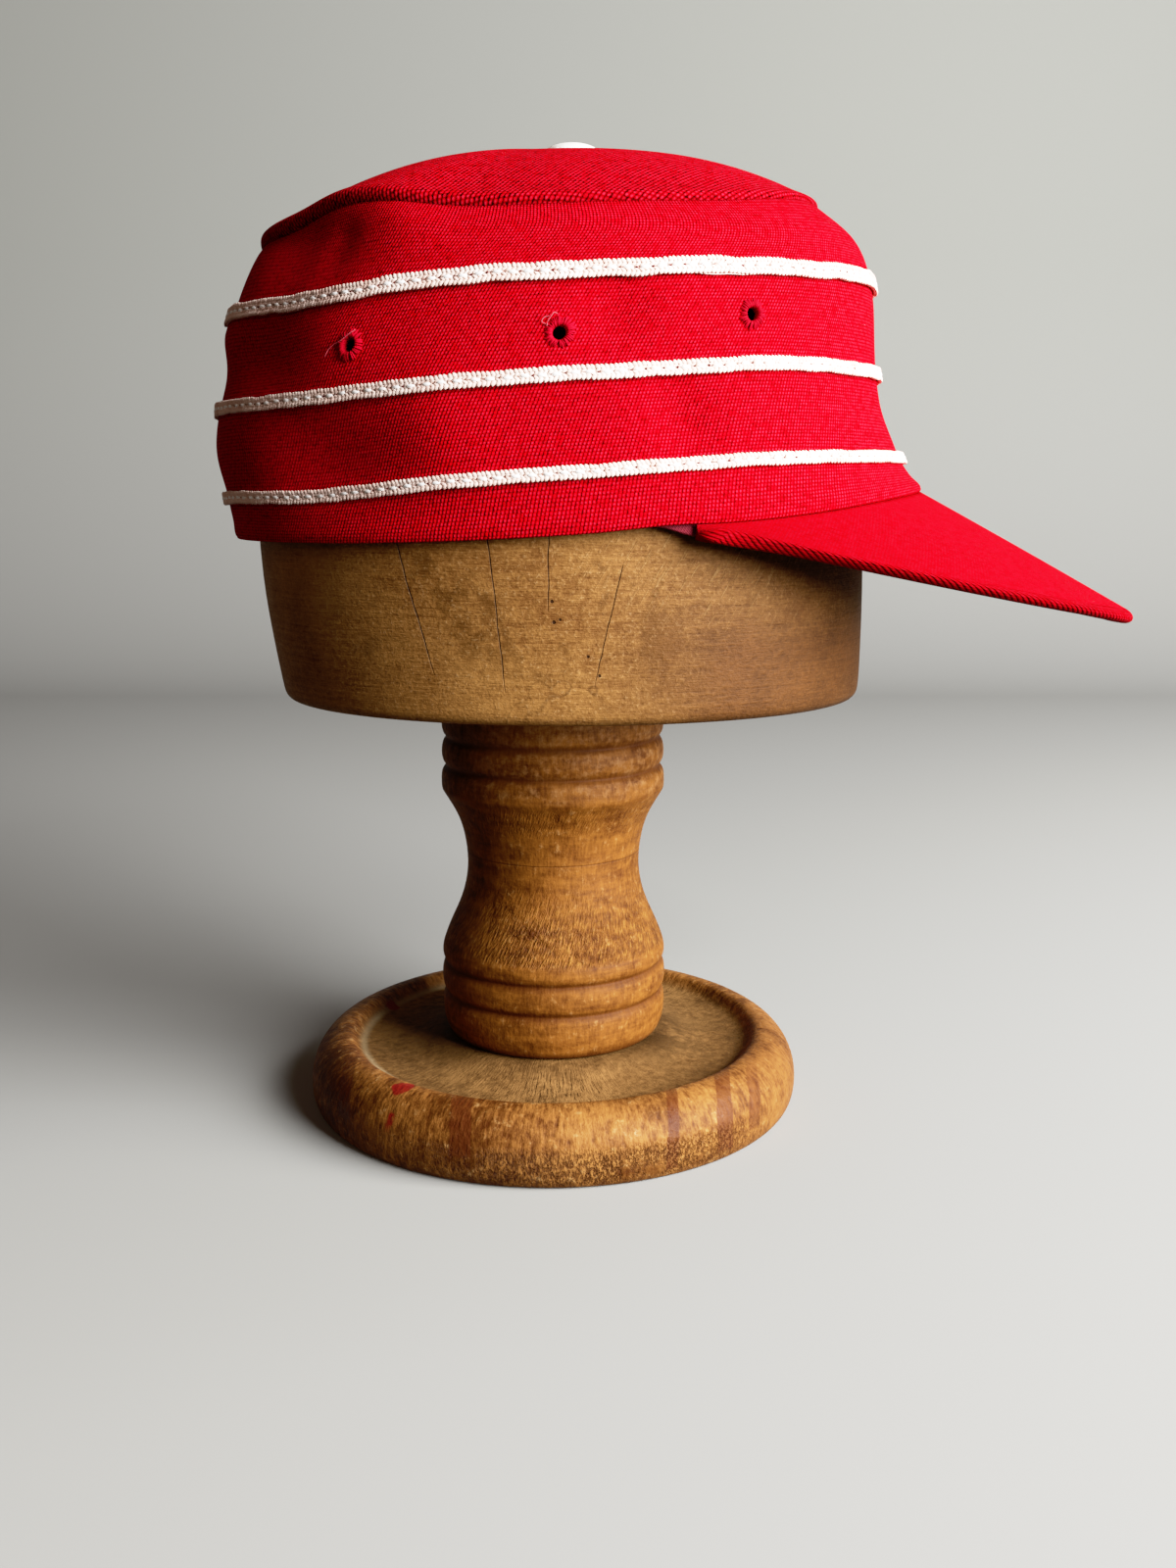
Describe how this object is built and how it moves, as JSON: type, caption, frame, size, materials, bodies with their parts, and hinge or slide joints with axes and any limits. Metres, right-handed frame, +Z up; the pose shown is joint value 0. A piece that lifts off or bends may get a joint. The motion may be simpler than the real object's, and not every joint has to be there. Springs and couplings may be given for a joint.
{
  "type": "pillbox cap on a wooden hat stand",
  "caption": "Red cloth pillbox cap with a flat domed top, white braid rows, stitched air eyelets and a short peak, resting on a turned wooden hat stand.",
  "frame": {"origin": "middle of the stand's flat underside, on the axis of its turned column", "axes": "+X the way the peak points, +Y the cap's left-hand side, +Z up the column"},
  "size_m": [0.2791, 0.1718, 0.2943],
  "materials": {
    "red_cloth": "matt knitted cloth",
    "red_thread": "satin stitched thread",
    "white_braid": "matt knitted braid",
    "pale_band": "matt woven band",
    "block_wood": "worn bare wood",
    "column_wood": "stained and varnished",
    "foot_wood": "worn varnish"
  },
  "bodies": {
    "root": {"crown_side": "red_cloth", "crown_top": "red_cloth", "top_button": "white_braid", "braid_lower": "white_braid", "braid_middle": "white_braid", "braid_upper": "white_braid", "eyelet_near_back": "red_thread", "eyelet_near_middle": "red_thread", "eyelet_near_front": "red_thread", "eyelet_far_back": "red_thread", "eyelet_far_middle": "red_thread", "eyelet_far_front": "red_thread", "peak": "red_cloth", "sweatband": "pale_band", "stand_block": "block_wood", "stand_column": "column_wood", "stand_base": "foot_wood"}
  },
  "joints": []
}
